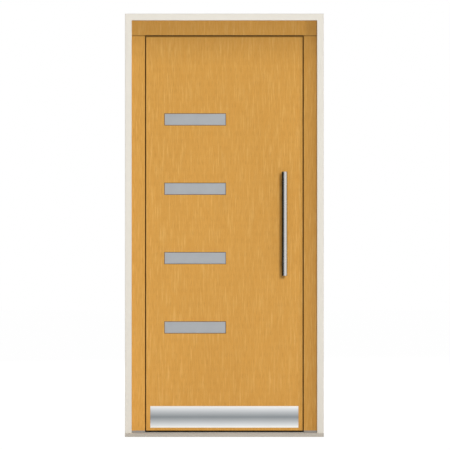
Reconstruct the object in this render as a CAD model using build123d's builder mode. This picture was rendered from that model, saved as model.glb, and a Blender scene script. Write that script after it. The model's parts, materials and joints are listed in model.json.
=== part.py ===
from build123d import *
import os

os.makedirs("parts", exist_ok=True)

# A front door set: a flush, insulated oak leaf in its frame, opening inwards.
# X runs along the wall with the hinges at -X, Y runs into the house and Z is up.
# Y = 0 is the outside face of frame and leaf, Z = 0 is the underside of the sill.
# All sizes are in millimetres.

# Driving sizes of the frame
frame_width = 1000.0
frame_top = 2246.0
frame_depth = 80.0
jamb_face = 71.5
head_face = 80.0
arris = 1.0
sill_height = 20.0
sill_nose = 30.0
sill_nose_chamfer = 2.0
foot_height = 12.0
trim_face = 36.0
trim_proud = 18.0
trim_lap = 6.0
trim_leg_thickness = 7.0
trim_leg_depth = 30.0
trim_round = 3.0

# The leaf and the two steps along its edges
leaf_gap = 6.0
leaf_thickness = 80.0
leaf_first_depth = 28.0
leaf_lip_depth = 20.0
first_step = 12.0
second_step = 20.0
seal_gap = 6.0
facing_thickness = 12.0
stile_width = 104.5
lock_stile_width = 164.5
rail_height = 142.0
lip_floor_gap = 4.5

# Clearances
seat_gap = 0.3
running_gap = 0.05
screw_gap = 0.1
over_cut = 1.0

# Threshold
threshold_plate = 4.0
threshold_tail = 2.0
threshold_set_back = 2.0
threshold_rib_depth = 12.0
threshold_rib_height = 10.0
grip_groove_pitch = 7.0
grip_groove_count = 4
grip_groove_width = 2.5
grip_groove_depth = 1.0

# Seals
seal_width = 7.0
seal_round = 2.0
barb_width = 3.0
barb_depth = 5.0
lip_seal_offset = 9.5
bottom_seal_height = 6.5

# Four glazed lights, one above the other
light_count = 4
light_width = 333.0
light_height = 65.0
light_margin = 25.8
light_drop = 448.0
light_pitch = 374.4
glass_lap = 9.0
glass_setting = 3.0
glass_recess = 4.0
pane_thickness = 6.0
unit_depth = 44.0
spacer_width = 6.0
bead_splay = 6.0

# Kick plate and pull bar
kick_inset = 22.5
kick_height = 117.0
kick_rise = 15.3
kick_thickness = 1.5
kick_edge = 0.5
bar_inset = 99.5
bar_centre_z = 1149.0
bar_length = 560.0
bar_radius = 15.0
bar_stand_off = 50.0
bar_end_round = 1.5
post_radius = 8.0
post_inset = 60.0
post_socket = 5.0
post_flange_radius = 14.0
post_flange = 3.0
pull_bolt_radius = 4.0
pull_bolt_reach = 20.0
pull_cap_radius = 14.0
pull_cap = 5.0
pull_cap_round = 2.0

# Barrel hinges on the inside
hinge_rise = 238.0
hinge_drop = 230.0
hinge_names = ("bottom", "middle", "top")
hinge_length = 100.0
barrel_radius = 10.0
barrel_face_gap = 1.0
pin_radius = 5.0
pin_head_radius = 8.0
pin_head = 4.0
knuckle_length = 33.0
knuckle_gap = 0.4
hinge_plate = 3.0
hinge_plate_width = 34.0
hinge_edge_inset = 4.0
hinge_web = 5.0

# Countersunk screws
screw_radius = 2.0
screw_head_radius = 4.0
screw_head = 2.0
screw_length = 30.0
hinge_screw_pitch = 36.0

# Lock in the edge of the leaf
lock_y = 42.0
backset = 65.0
lever_z = 1080.0
thumb_drop = 92.0
bolt_drop = 54.0
faceplate = 3.0
faceplate_width = 20.0
faceplate_over = 15.0
lock_case_depth = 86.0
lock_case_thickness = 15.4
lock_case_above = 40.0
lock_case_below = 43.0
case_screw_drop = 3.0
case_back_gap = 1.0
latch_thickness = 11.0
latch_height = 30.0
latch_throw = 12.0
latch_tail = 30.0
latch_bevel = 8.0
bolt_thickness = 10.0
bolt_height = 34.0
bolt_throw = 20.0
bolt_tail = 54.0
bolt_shy = 0.2

# Swing hooks above and below the lock
hook_rise = 398.0
hook_drop = 460.0
hook_names = ("lower", "upper")
hook_set_back = 8.5
hook_inner_radius = 17.0
hook_outer_radius = 25.0
hook_thickness = 8.0
hook_from = 105.0
hook_to = 165.0
hook_spoke = 15.0
hook_hub_radius = 5.0
hook_pin_radius = 3.0
hook_slot = (3.0, 21.5)
hook_case_half = 60.0
hook_case_depth = 35.0
rod_thickness = 3.0
rod_width = 10.0
rod_travel = 18.0
rod_lap = 20.0
rod_end_gap = 2.0
rod_channel_gap = 1.0

# Strikes and the electric release in the lock jamb
strike_thickness = 2.0
strike_inset = 4.0
strike_lap = 14.0
release_depth = 27.5
release_half = 32.0
jaw_radius = 10.5
jaw_wall = 3.0
jaw_from = -45.0
jaw_to = 10.0
jaw_hub_radius = 3.0
jaw_cheek = 3.4
jaw_pin_radius = 2.0
jaw_pin = 4.5
jaw_gap = 0.6
pocket_gap = 0.5

# Lever, backplate, cylinder and thumb turn on the inside
backplate_width = 40.0
backplate_height = 240.0
backplate_thickness = 8.0
backplate_round = 2.0
lever_neck_radius = 9.0
lever_reach = 48.0
lever_length = 125.0
lever_grip_height = 20.0
lever_grip_thickness = 12.0
lever_round = 4.0
spindle_side = 8.0
spindle_past_lock = 12.0
spindle_in_lever = 25.0
cylinder_radius = 8.5
cylinder_leg = 10.0
cylinder_height = 33.0
cylinder_proud = 3.0
turn_shaft_radius = 3.0
turn_disc_radius = 14.0
turn_disc = 5.0
turn_grip = 18.0
turn_grip_width = 9.0
turn_grip_height = 26.0
turn_cam_radius = 7.5
turn_cam_lobe = 14.0
turn_cam_width = 6.0
turn_edge_round = 2.25

# Holes for the frame anchors, level with the inner rebate
anchor_radius = 5.25
anchor_y = 67.0
anchor_rise = 128.0
anchor_drop = 106.0
anchor_step = 600.0

# Lines worked out from the driving sizes
frame_half = frame_width / 2
open_half = frame_half - jamb_face
open_half_2 = open_half + first_step
open_half_3 = open_half_2 + second_step
head_under = frame_top - head_face
foot_top = sill_height + foot_height
leaf_half = open_half - leaf_gap
leaf_half_2 = leaf_half + first_step
leaf_half_3 = leaf_half_2 + second_step
leaf_top = head_under - leaf_gap
leaf_top_2 = leaf_top + first_step
leaf_top_3 = leaf_top_2 + second_step
leaf_bottom = foot_top
lip_bottom = sill_height + lip_floor_gap
leaf_lip_y = leaf_thickness - leaf_lip_depth
rebate_y = leaf_first_depth - seal_gap
rebate_y_2 = leaf_lip_y - seal_gap
core_back = leaf_thickness - facing_thickness
frame_back_half = frame_half + trim_leg_thickness
trim_seat_y = trim_lap + trim_leg_depth + seat_gap
trim_half = frame_half + trim_face
trim_top = frame_top + trim_face
light_heights = [leaf_top - light_drop - i * light_pitch for i in range(light_count)]
hole_width = light_width + 2 * (glass_lap + glass_setting)
hole_height = light_height + 2 * (glass_lap + glass_setting)
pane_width = light_width + 2 * glass_lap
pane_height = light_height + 2 * glass_lap
unit_back = glass_recess + unit_depth
hinge_stile_edge = -leaf_half_3 + stile_width
light_centre_x = hinge_stile_edge + light_margin + light_width / 2
lock_stile_edge = leaf_half_3 - lock_stile_width
top_rail_bottom = leaf_top_3 - rail_height
bottom_rail_top = lip_bottom + rail_height
kick_half = leaf_half - kick_inset
kick_bottom = leaf_bottom + kick_rise
bar_x = leaf_half - bar_inset
bar_y = -(bar_stand_off + bar_radius)
post_heights = (bar_centre_z - bar_length / 2 + post_inset, bar_centre_z + bar_length / 2 - post_inset)
hinge_ends = (leaf_bottom + hinge_rise, leaf_top - hinge_drop)
hinge_heights = (hinge_ends[0], sum(hinge_ends) / 2, hinge_ends[1])
hinge_x = -(leaf_half_3 + open_half_3) / 2
hinge_y = leaf_thickness + barrel_radius + barrel_face_gap
hook_heights = (leaf_bottom + hook_rise, leaf_top - hook_drop)
anchor_ends = (foot_top + anchor_rise, head_under - anchor_drop)
anchor_heights = (
    anchor_ends[0],
    anchor_ends[0] + anchor_step,
    anchor_ends[1] - anchor_step,
    anchor_ends[1],
)
lever_x = leaf_half_2 - backset
thumb_z = lever_z - thumb_drop
bolt_z = lever_z - bolt_drop
lock_face_x = leaf_half_2 - faceplate
lock_case_x = lock_face_x - seat_gap
lock_case_top = lever_z + lock_case_above
lock_case_bottom = thumb_z - lock_case_below
hook_x = leaf_half_2 - hook_set_back
rod_x = lock_face_x - seat_gap - rod_thickness
strike_x = open_half_2 + strike_thickness
jaw_x = open_half_2 + jaw_hub_radius
jaw_half = latch_height / 2 + jaw_gap + jaw_cheek
release_pocket_radius = jaw_radius + pocket_gap
backplate_z = (lever_z + thumb_z) / 2
knuckle_end = hinge_length / 2


# Helpers: blocks between limits, round bars along an axis, and writing a piece


def block(x, y, z, mode=Mode.ADD):
    # a square-edged block between pairs of limits along each axis
    with BuildSketch(Plane.XY.offset(z[0])) as base:
        with Locations(((x[0] + x[1]) / 2, (y[0] + y[1]) / 2)):
            Rectangle(x[1] - x[0], y[1] - y[0])
    extrude(base.sketch, amount=z[1] - z[0], mode=mode)


def across(y):
    # an upright plane at depth y: sketches on it use X and Z, and it faces the street
    return Plane.XZ.offset(-y)


def bar_along_y(x, z, radius, y, mode=Mode.ADD):
    with BuildSketch(across(y[1])) as base:
        with Locations((x, z)):
            Circle(radius)
    extrude(base.sketch, amount=y[1] - y[0], mode=mode)


def bar_along_z(x, y, radius, z, mode=Mode.ADD):
    with BuildSketch(Plane.XY.offset(z[0])) as base:
        with Locations((x, y)):
            Circle(radius)
    extrude(base.sketch, amount=z[1] - z[0], mode=mode)


def bar_along_x(y, z, radius, x, mode=Mode.ADD):
    with BuildSketch(Plane.YZ.offset(x[0])) as base:
        with Locations((y, z)):
            Circle(radius)
    extrude(base.sketch, amount=x[1] - x[0], mode=mode)


def ring(half, top, width, y, mode=Mode.ADD):
    # a three-sided band up one side, across the top and down the other
    with BuildSketch(across(y[1])) as base:
        with BuildLine():
            Polyline(
                (-half, leaf_bottom),
                (-half, top),
                (half, top),
                (half, leaf_bottom),
                (half + width, leaf_bottom),
                (half + width, top + width),
                (-half - width, top + width),
                (-half - width, leaf_bottom),
                close=True,
            )
        make_face()
    extrude(base.sketch, amount=y[1] - y[0], mode=mode)


def sector(centre, radii, angles, plane):
    # part of a flat ring between two angles, as a sketch
    with BuildSketch(plane) as piece:
        with Locations(centre):
            Circle(radii[1])
            if radii[0] > 0:
                Circle(radii[0], mode=Mode.SUBTRACT)
        with BuildLine():
            reach = 2 * radii[1]
            first = Vector(reach, 0).rotate(Axis.Z, angles[0]) + Vector(*centre)
            middle = Vector(reach, 0).rotate(Axis.Z, sum(angles) / 2) + Vector(*centre)
            last = Vector(reach, 0).rotate(Axis.Z, angles[1]) + Vector(*centre)
            Polyline(centre, first, middle, last, close=True)
        make_face(mode=Mode.INTERSECT)
    return piece.sketch


def save(piece, name):
    piece.part.label = name
    export_step(piece.part, "parts/" + name + ".step")


# Countersunk screws with their heads flush, and the holes that they sit in


def screw_y(x, z, face_y, extra=0.0, mode=Mode.ADD):
    # driven into the part from the inside, along -Y
    with BuildSketch(across(face_y)) as head:
        with Locations((x, z)):
            Circle(screw_head_radius + extra)
    with BuildSketch(across(face_y - screw_head)) as neck:
        with Locations((x, z)):
            Circle(screw_radius + extra)
    loft([head.sketch, neck.sketch], mode=mode)
    bar_along_y(x, z, screw_radius + extra, (face_y - screw_length - extra, face_y - screw_head), mode)


def screw_x(y, z, face_x, side, extra=0.0, mode=Mode.ADD):
    # driven along X, with side +1 into the +X direction
    with BuildSketch(Plane.YZ.offset(face_x)) as head:
        with Locations((y, z)):
            Circle(screw_head_radius + extra)
    with BuildSketch(Plane.YZ.offset(face_x + side * screw_head)) as neck:
        with Locations((y, z)):
            Circle(screw_radius + extra)
    loft([head.sketch, neck.sketch], mode=mode)
    ends = sorted((face_x + side * screw_head, face_x + side * (screw_length + extra)))
    bar_along_x(y, z, screw_radius + extra, ends, mode)


hinge_plate_face = leaf_thickness + hinge_plate
plate_near = barrel_radius + barrel_face_gap
frame_plate_x = (-frame_half + hinge_edge_inset, hinge_x - plate_near)
leaf_plate_x = (hinge_x + plate_near, hinge_x + plate_near + hinge_plate_width)
frame_hinge_screw_x = sum(frame_plate_x) / 2
leaf_hinge_screw_x = sum(leaf_plate_x) / 2
hinge_screw_heights = [z + k * hinge_screw_pitch for z in hinge_heights for k in (-1, 0, 1)]
faceplate_bottom = hook_heights[0] - hook_case_half - faceplate_over
faceplate_top = hook_heights[1] + hook_case_half + faceplate_over
faceplate_screw_heights = (
    faceplate_bottom + faceplate_over / 2,
    thumb_z - case_screw_drop,
    (bolt_z + bolt_height / 2 + lever_z - latch_height / 2) / 2,
    faceplate_top - faceplate_over / 2,
)
main_strike_limits = (bolt_z - bolt_height / 2 - strike_lap, lever_z + release_half + strike_lap)
main_strike_screws = (main_strike_limits[0] + strike_lap / 2, main_strike_limits[1] - strike_lap / 2)
hook_strike_screws = [
    z + edge for z in hook_heights for edge in (hook_slot[0] - strike_lap, hook_slot[1] + strike_lap)
]
strike_y = (rebate_y + strike_inset, rebate_y_2)
strike_mid_y = sum(strike_y) / 2


# Frame


def jamb_section(side):
    # outline of a jamb across its length, with the two rebate steps and the step that takes the trim's leg
    with BuildSketch() as section:
        with BuildLine():
            Polyline(
                (side * open_half, 0),
                (side * frame_half, 0),
                (side * frame_half, trim_seat_y),
                (side * frame_back_half, trim_seat_y),
                (side * frame_back_half, frame_depth),
                (side * open_half_3, frame_depth),
                (side * open_half_3, rebate_y_2),
                (side * open_half_2, rebate_y_2),
                (side * open_half_2, rebate_y),
                (side * open_half, rebate_y),
                close=True,
            )
        make_face()
        chamfer(section.vertices().group_by(Axis.Y)[0], arris)
    return section.sketch


seal_groove = (barb_width + 2 * screw_gap, barb_depth + screw_gap)
frame_barb_half = open_half + (seal_width - barb_width) / 2
frame_barb_top = head_under + (seal_width - barb_width) / 2


def cut_frame_seal_groove():
    half = frame_barb_half - screw_gap
    top = frame_barb_top - screw_gap
    ring(half, top, seal_groove[0], (rebate_y - seal_groove[1], rebate_y), Mode.SUBTRACT)


def cut_anchor_holes(side):
    limits = sorted((side * open_half, side * (frame_back_half + over_cut)))
    for z in anchor_heights:
        bar_along_x(anchor_y, z, anchor_radius, limits, Mode.SUBTRACT)


with BuildPart() as hinge_jamb:
    extrude(jamb_section(-1), amount=head_under)
    split(bisect_by=Plane.XY.offset(foot_top), keep=Keep.TOP)
    cut_frame_seal_groove()
    cut_anchor_holes(-1)
    for z in hinge_screw_heights:
        screw_y(frame_hinge_screw_x, z, hinge_plate_face, screw_gap, Mode.SUBTRACT)
save(hinge_jamb, "hinge_jamb")

with BuildPart() as lock_jamb:
    extrude(jamb_section(1), amount=head_under)
    split(bisect_by=Plane.XY.offset(foot_top), keep=Keep.TOP)
    cut_frame_seal_groove()
    cut_anchor_holes(1)
    # housings for the strikes, the release and the bolts
    block((open_half_2 - over_cut, strike_x), strike_y, main_strike_limits, Mode.SUBTRACT)
    block(
        (strike_x, strike_x + release_depth + seat_gap),
        (rebate_y_2 - release_depth - seat_gap, rebate_y_2),
        (lever_z - release_half - seat_gap, lever_z + release_half + seat_gap),
        Mode.SUBTRACT,
    )
    block(
        (strike_x, leaf_half_2 + bolt_throw + 2 * pocket_gap),
        (lock_y - bolt_thickness / 2 - pocket_gap, lock_y + bolt_thickness / 2 + pocket_gap),
        (bolt_z - bolt_height / 2 - pocket_gap, bolt_z + bolt_height / 2 + pocket_gap),
        Mode.SUBTRACT,
    )
    for z in hook_heights:
        block(
            (open_half_2 - over_cut, strike_x),
            strike_y,
            (z + hook_slot[0] - 2 * strike_lap, z + hook_slot[1] + 2 * strike_lap),
            Mode.SUBTRACT,
        )
        block(
            (strike_x, hook_x + hook_outer_radius + 2 * pocket_gap),
            (lock_y - hook_thickness / 2 - pocket_gap, lock_y + hook_thickness / 2 + pocket_gap),
            (z - 2 * hook_slot[0], z + hook_slot[1] + pocket_gap),
            Mode.SUBTRACT,
        )
    for z in (*main_strike_screws, *hook_strike_screws):
        screw_x(strike_mid_y, z, open_half_2, 1, screw_gap, Mode.SUBTRACT)
save(lock_jamb, "lock_jamb")

with BuildPart() as frame_head:
    block((-frame_half, frame_half), (0, frame_depth), (head_under, frame_top))
    chamfer(frame_head.edges().filter_by(Axis.X).group_by(Axis.Y)[0], arris)
    back_y = (trim_seat_y, frame_depth)
    block((-frame_back_half, frame_back_half), back_y, (head_under, frame_top + trim_leg_thickness))
    block(
        (-open_half_2, open_half_2),
        (rebate_y, frame_depth),
        (head_under, head_under + first_step),
        Mode.SUBTRACT,
    )
    block(
        (-open_half_3, open_half_3),
        (rebate_y_2, frame_depth),
        (head_under, head_under + first_step + second_step),
        Mode.SUBTRACT,
    )
    cut_frame_seal_groove()
save(frame_head, "frame_head")

for side, name in ((-1, "hinge_jamb_foot"), (1, "lock_jamb_foot")):
    with BuildPart() as foot:
        extrude(jamb_section(side), amount=foot_top)
        split(bisect_by=Plane.XY.offset(sill_height), keep=Keep.TOP)
    save(foot, name)

with BuildPart() as threshold:
    plate_top = sill_height + threshold_plate
    rib_front = rebate_y_2 - threshold_rib_depth
    block((-open_half, open_half), (threshold_set_back, rebate_y), (sill_height, plate_top))
    block((-open_half_2, open_half_2), (rebate_y, rib_front), (sill_height, plate_top))
    rib_top = sill_height + threshold_rib_height
    block((-open_half_2, open_half_2), (rib_front, rebate_y_2), (sill_height, rib_top))
    tail_top = sill_height + threshold_tail
    block((-open_half_3, open_half_3), (rebate_y_2, frame_depth), (sill_height, tail_top))
    chamfer(threshold.edges().filter_by(Axis.X).group_by(Axis.Z)[-1], arris)
    for i in range(grip_groove_count):
        groove_y = threshold_set_back + (i + 1) * grip_groove_pitch
        block(
            (-open_half, open_half),
            (groove_y - grip_groove_width / 2, groove_y + grip_groove_width / 2),
            (plate_top - grip_groove_depth, plate_top),
            Mode.SUBTRACT,
        )
save(threshold, "threshold")

with BuildPart() as door_sill:
    block((-trim_half, trim_half), (-sill_nose, frame_depth), (0, sill_height))
    chamfer(door_sill.edges().filter_by(Axis.X).group_by(Axis.Y)[0], sill_nose_chamfer)
save(door_sill, "door_sill")


def trim_section(plane, start, side):
    # face board with a return leg along the outer edge of the frame
    with BuildSketch(plane) as section:
        with BuildLine():
            Polyline(
                (start, -trim_proud),
                (start + side * trim_face, -trim_proud),
                (start + side * trim_face, trim_lap),
                (start + side * trim_leg_thickness, trim_lap),
                (start + side * trim_leg_thickness, trim_lap + trim_leg_depth),
                (start, trim_lap + trim_leg_depth),
                close=True,
            )
        make_face()
        fillet(section.vertices().group_by(Axis.Y)[0], trim_round)
    return section.sketch


for side, name in ((-1, "left_cover_trim"), (1, "right_cover_trim")):
    mitre = Plane(origin=(side * frame_half, 0, frame_top), z_dir=(-side, 0, 1))
    with BuildPart() as cover_trim:
        foot_plane = Plane.XY.offset(sill_height)
        extrude(trim_section(foot_plane, side * frame_half, side), amount=trim_top - sill_height)
        split(bisect_by=mitre, keep=Keep.BOTTOM)
    save(cover_trim, name)

with BuildPart() as top_cover_trim:
    head_plane = Plane(origin=(-trim_half, 0, frame_top), x_dir=(0, 0, 1), z_dir=(1, 0, 0))
    with BuildSketch(head_plane) as head_section:
        with BuildLine():
            Polyline(
                (0, trim_proud),
                (trim_face, trim_proud),
                (trim_face, -trim_lap),
                (trim_leg_thickness, -trim_lap),
                (trim_leg_thickness, -trim_lap - trim_leg_depth),
                (0, -trim_lap - trim_leg_depth),
                close=True,
            )
        make_face()
        fillet(head_section.vertices().group_by(Axis.Y)[-1], trim_round)
    extrude(amount=2 * trim_half)
    for side in (-1, 1):
        mitre = Plane(origin=(side * frame_half, 0, frame_top), z_dir=(-side, 0, 1))
        split(bisect_by=mitre, keep=Keep.TOP)
save(top_cover_trim, "top_cover_trim")

with BuildPart() as frame_seal:
    ring(open_half, head_under, seal_width, (rebate_y, leaf_first_depth - seat_gap))
    fillet(frame_seal.edges().group_by(Axis.Y)[-1], seal_round)
    ring(frame_barb_half, frame_barb_top, barb_width, (rebate_y - barb_depth, rebate_y))
save(frame_seal, "frame_seal")


# Hinges

for z, name in zip(hinge_heights, hinge_names):
    span = (z - knuckle_end, z + knuckle_end)
    low = (z - knuckle_end, z - knuckle_end + knuckle_length)
    high = (z + knuckle_end - knuckle_length, z + knuckle_end)
    middle = (low[1] + knuckle_gap, high[0] - knuckle_gap)
    plate_y = (leaf_thickness, hinge_plate_face)
    web_y = (leaf_thickness, leaf_thickness + hinge_web)
    with BuildPart() as frame_part:
        block(frame_plate_x, plate_y, span)
        for knuckle in (low, high):
            bar_along_z(hinge_x, hinge_y, barrel_radius, knuckle)
            block((hinge_x - plate_near - over_cut, hinge_x), web_y, knuckle)
        bar_along_z(hinge_x, hinge_y, pin_radius + running_gap, span, Mode.SUBTRACT)
        for k in (-1, 0, 1):
            hole_z = z + k * hinge_screw_pitch
            screw_y(frame_hinge_screw_x, hole_z, hinge_plate_face, screw_gap, Mode.SUBTRACT)
    save(frame_part, name + "_hinge_frame_part")
    with BuildPart() as leaf_part:
        block(leaf_plate_x, plate_y, span)
        bar_along_z(hinge_x, hinge_y, barrel_radius, middle)
        block((hinge_x, hinge_x + plate_near + over_cut), web_y, middle)
        bar_along_z(hinge_x, hinge_y, pin_radius + running_gap, span, Mode.SUBTRACT)
        for k in (-1, 0, 1):
            hole_z = z + k * hinge_screw_pitch
            screw_y(leaf_hinge_screw_x, hole_z, hinge_plate_face, screw_gap, Mode.SUBTRACT)
    save(leaf_part, name + "_hinge_leaf_part")

with BuildPart() as hinge_pins:
    for z in hinge_heights:
        bar_along_z(hinge_x, hinge_y, pin_radius, (z - knuckle_end, z + knuckle_end))
        bar_along_z(hinge_x, hinge_y, pin_head_radius, (z + knuckle_end, z + knuckle_end + pin_head))
save(hinge_pins, "hinge_pins")


# Strikes and the electric release

with BuildPart() as strike_plates:
    block((open_half_2, strike_x), strike_y, main_strike_limits)
    # window for the latch, open towards the inside
    block(
        (open_half_2, strike_x),
        (lock_y - release_pocket_radius, rebate_y_2),
        (lever_z - jaw_half - jaw_pin, lever_z + jaw_half + jaw_pin),
        Mode.SUBTRACT,
    )
    block(
        (open_half_2, strike_x),
        (lock_y - bolt_thickness / 2 - pocket_gap, lock_y + bolt_thickness / 2 + pocket_gap),
        (bolt_z - bolt_height / 2 - pocket_gap, bolt_z + bolt_height / 2 + pocket_gap),
        Mode.SUBTRACT,
    )
    for z in hook_heights:
        block(
            (open_half_2, strike_x),
            strike_y,
            (z + hook_slot[0] - 2 * strike_lap, z + hook_slot[1] + 2 * strike_lap),
        )
        block(
            (open_half_2, strike_x),
            (lock_y - hook_thickness / 2 - pocket_gap, lock_y + hook_thickness / 2 + pocket_gap),
            (z + hook_slot[0], z + hook_slot[1]),
            Mode.SUBTRACT,
        )
    for z in (*main_strike_screws, *hook_strike_screws):
        screw_x(strike_mid_y, z, open_half_2, 1, screw_gap, Mode.SUBTRACT)
save(strike_plates, "strike_plates")

with BuildPart() as release_case:
    block(
        (strike_x, strike_x + release_depth),
        (rebate_y_2 - release_depth, rebate_y_2),
        (lever_z - release_half, lever_z + release_half),
    )
    pocket = (lever_z - jaw_half - seat_gap, lever_z + jaw_half + seat_gap)
    bar_along_z(jaw_x, lock_y, release_pocket_radius, pocket, Mode.SUBTRACT)
    mouth_x = (strike_x, jaw_x + jaw_radius - jaw_wall - pocket_gap)
    block(mouth_x, (lock_y, rebate_y_2), pocket, Mode.SUBTRACT)
    pin_holes = (lever_z - jaw_half - jaw_pin - seat_gap, lever_z + jaw_half + jaw_pin + seat_gap)
    bar_along_z(jaw_x, lock_y, jaw_pin_radius + running_gap, pin_holes, Mode.SUBTRACT)
save(release_case, "release_case")

with BuildPart() as release_jaw:
    jaw_centre = (jaw_x, lock_y)
    jaw_span = (jaw_from, jaw_to)
    jaw_base = Plane.XY.offset(lever_z - jaw_half)
    cheek_top = Plane.XY.offset(lever_z + jaw_half - jaw_cheek)
    jaw_radii = (jaw_radius - jaw_wall, jaw_radius)
    extrude(sector(jaw_centre, jaw_radii, jaw_span, jaw_base), amount=2 * jaw_half)
    for cheek_plane in (jaw_base, cheek_top):
        extrude(sector(jaw_centre, (0, jaw_radius), jaw_span, cheek_plane), amount=jaw_cheek)
    for sign in (-1, 1):
        cheek = sorted((lever_z + sign * jaw_half, lever_z + sign * (jaw_half - jaw_cheek)))
        pin = sorted((lever_z + sign * (jaw_half - jaw_cheek), lever_z + sign * (jaw_half + jaw_pin)))
        bar_along_z(jaw_x, lock_y, jaw_hub_radius, cheek)
        bar_along_z(jaw_x, lock_y, jaw_pin_radius, pin)
save(release_jaw, "release_jaw")

with BuildPart() as frame_screws:
    for z in hinge_screw_heights:
        screw_y(frame_hinge_screw_x, z, hinge_plate_face)
    for z in (*main_strike_screws, *hook_strike_screws):
        screw_x(strike_mid_y, z, open_half_2, 1)
save(frame_screws, "frame_screws")


# Leaf

with BuildPart() as leaf_blank:
    # the whole stepped leaf between its two facings, from which its timbers are cut
    block((-leaf_half, leaf_half), (facing_thickness, leaf_first_depth), (leaf_bottom, leaf_top))
    block((-leaf_half_2, leaf_half_2), (leaf_first_depth, leaf_lip_y), (leaf_bottom, leaf_top_2))
    block((-leaf_half_3, leaf_half_3), (leaf_lip_y, core_back), (lip_bottom, leaf_top_3))

leaf_depth = (facing_thickness, core_back)
leaf_barb_half = leaf_half_2 + lip_seal_offset + (seal_width - barb_width) / 2
leaf_barb_top = leaf_top_2 + lip_seal_offset + (seal_width - barb_width) / 2


def cut_leaf_seal_groove():
    half = leaf_barb_half - screw_gap
    top = leaf_barb_top - screw_gap
    ring(half, top, seal_groove[0], (leaf_lip_y, leaf_lip_y + seal_groove[1]), Mode.SUBTRACT)


def cut_pull_bolt_holes():
    for z in post_heights:
        bar_along_y(bar_x, z, pull_bolt_radius + screw_gap, (0, leaf_thickness), Mode.SUBTRACT)


def cylinder_profile(extra, plane):
    # outline of the lock cylinder: a round head on a narrow leg
    with BuildSketch(plane) as profile:
        leg_height = cylinder_height - cylinder_radius + extra
        with Locations((lever_x, thumb_z)):
            Circle(cylinder_radius + extra)
        with Locations((lever_x, thumb_z - leg_height / 2)):
            Rectangle(cylinder_leg + 2 * extra, leg_height)
    return profile.sketch


def cut_lever_and_cylinder():
    # clearance through the leaf from the inside for the spindle and the cylinder
    bar_along_y(lever_x, lever_z, spindle_side, (lock_y - 2 * spindle_side, leaf_thickness), Mode.SUBTRACT)
    depth = leaf_thickness - lock_y
    extrude(cylinder_profile(seat_gap, across(leaf_thickness)), amount=depth, mode=Mode.SUBTRACT)


with BuildPart() as hinge_stile:
    block((-leaf_half_3, hinge_stile_edge), leaf_depth, (lip_bottom, leaf_top_3))
    add(leaf_blank.part, mode=Mode.INTERSECT)
    cut_leaf_seal_groove()
    for z in hinge_screw_heights:
        screw_y(leaf_hinge_screw_x, z, hinge_plate_face, screw_gap, Mode.SUBTRACT)
save(hinge_stile, "hinge_stile")

lock_case_y = (lock_y - lock_case_thickness / 2, lock_y + lock_case_thickness / 2)
lock_housing_y = (lock_case_y[0] - seat_gap, lock_case_y[1] + seat_gap)
rod_y = (lock_y - rod_width / 2, lock_y + rod_width / 2)
rod_channel_y = (rod_y[0] - rod_channel_gap, rod_y[1] + rod_channel_gap)
upper_rod = (lock_case_top - rod_travel, hook_heights[1] - hook_case_half + rod_lap / 2)
lower_rod = (hook_heights[0] + hook_case_half - rod_lap, lock_case_bottom + rod_lap / 2)

with BuildPart() as lock_stile:
    block((lock_stile_edge, leaf_half_3), leaf_depth, (lip_bottom, leaf_top_3))
    add(leaf_blank.part, mode=Mode.INTERSECT)
    cut_leaf_seal_groove()
    cut_pull_bolt_holes()
    cut_lever_and_cylinder()
    plate_y = (lock_y - faceplate_width / 2, lock_y + faceplate_width / 2)
    block((lock_face_x, leaf_half_2 + over_cut), plate_y, (faceplate_bottom, faceplate_top), Mode.SUBTRACT)
    block(
        (rod_x - rod_channel_gap, lock_face_x),
        rod_channel_y,
        (hook_heights[0], hook_heights[1]),
        Mode.SUBTRACT,
    )
    block(
        (lock_case_x - lock_case_depth - seat_gap, lock_face_x),
        lock_housing_y,
        (lock_case_bottom - seat_gap, lock_case_top + seat_gap),
        Mode.SUBTRACT,
    )
    for z in hook_heights:
        block(
            (lock_case_x - hook_case_depth - seat_gap, lock_face_x),
            lock_housing_y,
            (z - hook_case_half - seat_gap, z + hook_case_half + seat_gap),
            Mode.SUBTRACT,
        )
    for z in (faceplate_screw_heights[0], faceplate_screw_heights[-1]):
        screw_x(lock_y, z, leaf_half_2, -1, screw_gap, Mode.SUBTRACT)
save(lock_stile, "lock_stile")

rail_limits = {"top_rail": (top_rail_bottom, leaf_top_3), "bottom_rail": (lip_bottom, bottom_rail_top)}
for name, limits in rail_limits.items():
    with BuildPart() as rail:
        block((hinge_stile_edge, lock_stile_edge), leaf_depth, limits)
        add(leaf_blank.part, mode=Mode.INTERSECT)
        cut_leaf_seal_groove()
    save(rail, name)


def cut_light_holes(width, height, y):
    # the same four openings at any size, between two depths
    with BuildSketch(across(y[1])) as holes:
        with Locations([(light_centre_x, z) for z in light_heights]):
            Rectangle(width, height)
    extrude(holes.sketch, amount=y[1] - y[0], mode=Mode.SUBTRACT)


with BuildPart() as insulation_core:
    block((hinge_stile_edge, lock_stile_edge), leaf_depth, (bottom_rail_top, top_rail_bottom))
    cut_light_holes(hole_width, hole_height, leaf_depth)
save(insulation_core, "insulation_core")

with BuildPart() as outer_facing:
    block((-leaf_half, leaf_half), (0, facing_thickness), (leaf_bottom, leaf_top))
    chamfer(outer_facing.faces().sort_by(Axis.Y)[0].edges(), arris)
    cut_light_holes(light_width, light_height, (0, facing_thickness))
    cut_light_holes(hole_width, hole_height, (glass_recess, facing_thickness))
    cut_pull_bolt_holes()
save(outer_facing, "outer_facing")

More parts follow.
